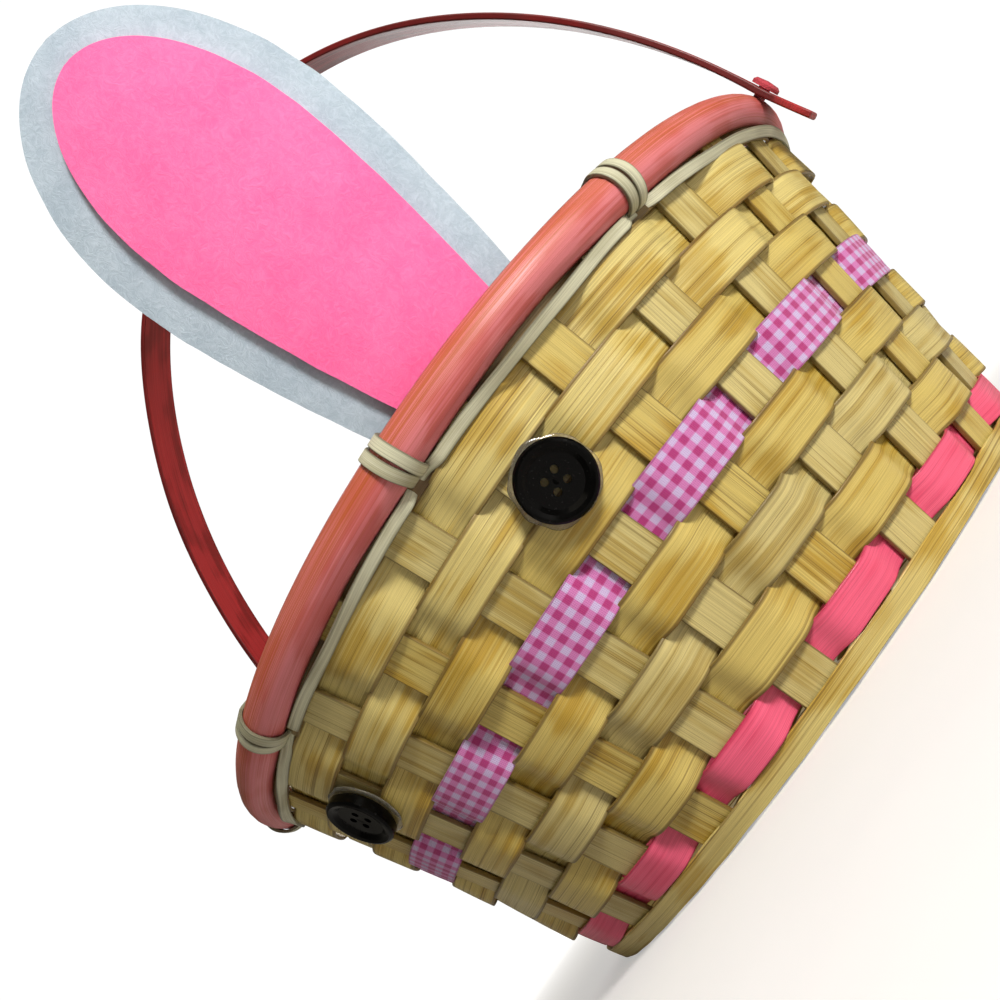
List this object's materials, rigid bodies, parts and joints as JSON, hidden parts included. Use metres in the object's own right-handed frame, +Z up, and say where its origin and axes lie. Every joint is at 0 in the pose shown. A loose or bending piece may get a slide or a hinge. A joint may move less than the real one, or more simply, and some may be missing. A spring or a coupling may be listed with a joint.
{
  "type": "easter basket",
  "caption": "Round woven bamboo basket with flared sides, a swinging arched handle, button eyes, a gingham band and an upright felt ear.",
  "frame": {"origin": "middle of the base, on the surface the basket stands on, on the axis of the round rim", "axes": "+Z up; +X along the base's eight long splints and from handle pin to handle pin, to the right as seen from the front; -Y is the front, where the button eyes and the felt ear are"},
  "size_m": [0.2488, 0.2433, 0.2444],
  "materials": {
    "straw_bamboo": "satin",
    "honey_bamboo": "satin",
    "hot_pink_bamboo": "satin",
    "rose_bamboo": "satin",
    "crimson_bamboo": "satin",
    "sage_cane": "matte",
    "gingham_cloth": "matte",
    "blue_grey_felt": "matte",
    "pink_felt": "matte",
    "black_button": "gloss",
    "clear_glue": "gloss"
  },
  "bodies": {
    "basket": {"long_splint_1": "straw_bamboo", "long_splint_2": "straw_bamboo", "long_splint_3": "honey_bamboo", "long_splint_4": "straw_bamboo", "long_splint_5": "straw_bamboo", "long_splint_6": "honey_bamboo", "long_splint_7": "straw_bamboo", "long_splint_8": "straw_bamboo", "cross_splint_1": "honey_bamboo", "cross_splint_2": "straw_bamboo", "cross_splint_3": "straw_bamboo", "cross_splint_4": "honey_bamboo", "cross_splint_5": "straw_bamboo", "cross_splint_6": "straw_bamboo", "cross_splint_7": "honey_bamboo", "weaver_1": "hot_pink_bamboo", "weaver_2": "straw_bamboo", "weaver_3": "honey_bamboo", "weaver_4": "straw_bamboo", "weaver_5": "honey_bamboo", "weaver_6": "straw_bamboo", "weaver_7": "honey_bamboo", "weaver_8": "straw_bamboo", "weaver_9": "straw_bamboo", "gingham_ribbon": "gingham_cloth", "base_band": "straw_bamboo", "outer_hoop": "rose_bamboo", "inner_hoop": "crimson_bamboo", "lashing_cane": "sage_cane", "handle_pin_left": "rose_bamboo", "handle_pin_right": "rose_bamboo", "ear_felt": "blue_grey_felt", "ear_lining": "pink_felt", "eye_button_left": "black_button", "eye_button_right": "black_button", "eye_glue_left": "clear_glue", "eye_glue_right": "clear_glue"},
    "handle": {"handle_strip": "crimson_bamboo"}
  },
  "joints": [
    {"name": "handle_swing", "type": "hinge", "parent": "basket", "child": "handle", "pos_m": [0, 0, 0.095], "axis": [1, 0, 0], "range_deg": [-115, 45]}
  ]
}
